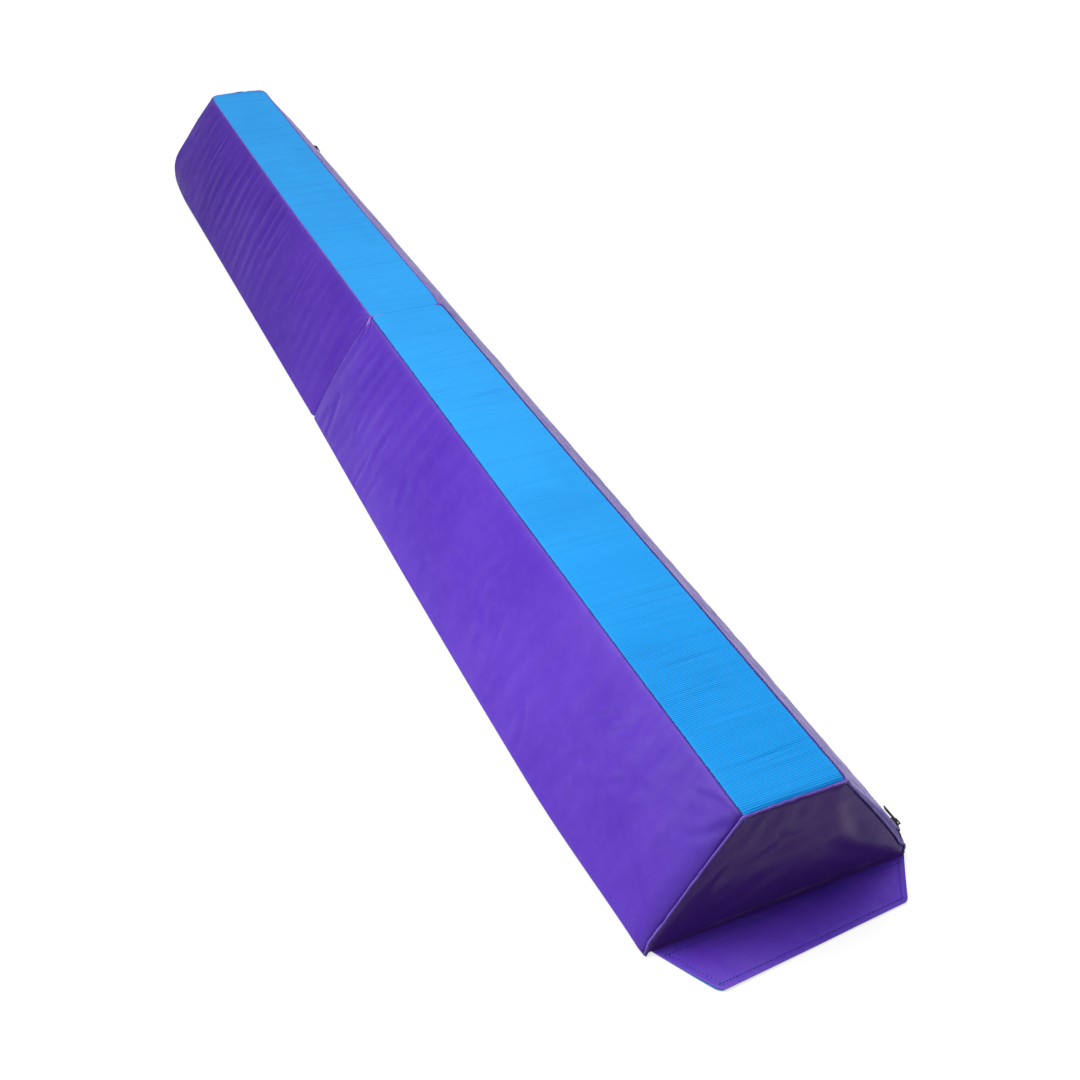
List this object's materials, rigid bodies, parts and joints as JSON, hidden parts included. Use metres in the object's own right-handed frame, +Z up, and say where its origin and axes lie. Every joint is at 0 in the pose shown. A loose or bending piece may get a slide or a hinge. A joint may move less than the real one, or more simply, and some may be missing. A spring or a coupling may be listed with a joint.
{
  "type": "folding foam balance beam",
  "caption": "Folding foam balance beam with a narrow ribbed walking top, sloping vinyl sides, a wide base, zipped covers and an end flap.",
  "frame": {"origin": "on the floor, at the centre of the whole footprint, with the end flap lying flat", "axes": "+Y along the beam from the end with the flap to the other end, +Z up from the floor, +X across to the side with the zips"},
  "size_m": [0.36, 2.465, 0.1762],
  "materials": {
    "purple_vinyl": "satin",
    "blue_ribbed_fabric": "matte",
    "blue_base_fabric": "matte",
    "foam": "matte",
    "hinge_cloth": "matte",
    "zip_tape": "matte",
    "zip_chain": "satin",
    "zip_metal": "gloss"
  },
  "bodies": {
    "near_half": {"near_foam_core": "foam", "near_top_cover": "blue_ribbed_fabric", "near_left_cover": "purple_vinyl", "near_right_cover": "purple_vinyl", "near_base_cover": "blue_base_fabric", "near_end_cover": "purple_vinyl", "near_inner_end_cover": "purple_vinyl", "near_end_welt": "purple_vinyl", "near_hinge_tape": "hinge_cloth", "near_zip_tape_upper": "zip_tape", "near_zip_tape_lower": "zip_tape", "near_zip_chain": "zip_chain", "near_zip_stop_near": "zip_metal", "near_zip_stop_far": "zip_metal"},
    "far_half": {"far_foam_core": "foam", "far_top_cover": "blue_ribbed_fabric", "far_left_cover": "purple_vinyl", "far_right_cover": "purple_vinyl", "far_base_cover": "blue_base_fabric", "far_end_cover": "purple_vinyl", "far_inner_end_cover": "purple_vinyl", "far_end_welt": "purple_vinyl", "far_hinge_tape": "hinge_cloth", "far_zip_tape_upper": "zip_tape", "far_zip_tape_lower": "zip_tape", "far_zip_chain": "zip_chain", "far_zip_stop_near": "zip_metal", "far_zip_stop_far": "zip_metal"},
    "end_flap": {"flap_cover": "purple_vinyl", "flap_lining": "blue_base_fabric"},
    "near_zip_slider": {"near_zip_slider": "zip_metal"},
    "near_zip_pull": {"near_zip_pull": "zip_metal"},
    "far_zip_slider": {"far_zip_slider": "zip_metal"},
    "far_zip_pull": {"far_zip_pull": "zip_metal"}
  },
  "joints": [
    {"name": "fold", "type": "hinge", "parent": "near_half", "child": "far_half", "pos_m": [0, 0.0325, 0.1768], "axis": [1, 0, 0], "range_deg": [0, 180]},
    {"name": "flap_lift", "type": "hinge", "parent": "near_half", "child": "end_flap", "pos_m": [0, -1.1693, 0.0011], "axis": [-1, 0, 0], "range_deg": [0, 84]},
    {"name": "near_zip_slide", "type": "slide", "parent": "near_half", "child": "near_zip_slider", "axis": [0, 1, 0], "range_m": [0, 1.112]},
    {"name": "near_zip_pull_turn", "type": "hinge", "parent": "near_zip_slider", "child": "near_zip_pull", "pos_m": [0.17595, -1.148, 0.03943], "axis": [0.398, 0, -0.9174], "range_deg": [0, 180]},
    {"name": "far_zip_slide", "type": "slide", "parent": "far_half", "child": "far_zip_slider", "axis": [0, -1, 0], "range_m": [0, 1.081]},
    {"name": "far_zip_pull_turn", "type": "hinge", "parent": "far_zip_slider", "child": "far_zip_pull", "pos_m": [0.17595, 1.182, 0.03943], "axis": [-0.398, 0, 0.9174], "range_deg": [0, 180]}
  ]
}
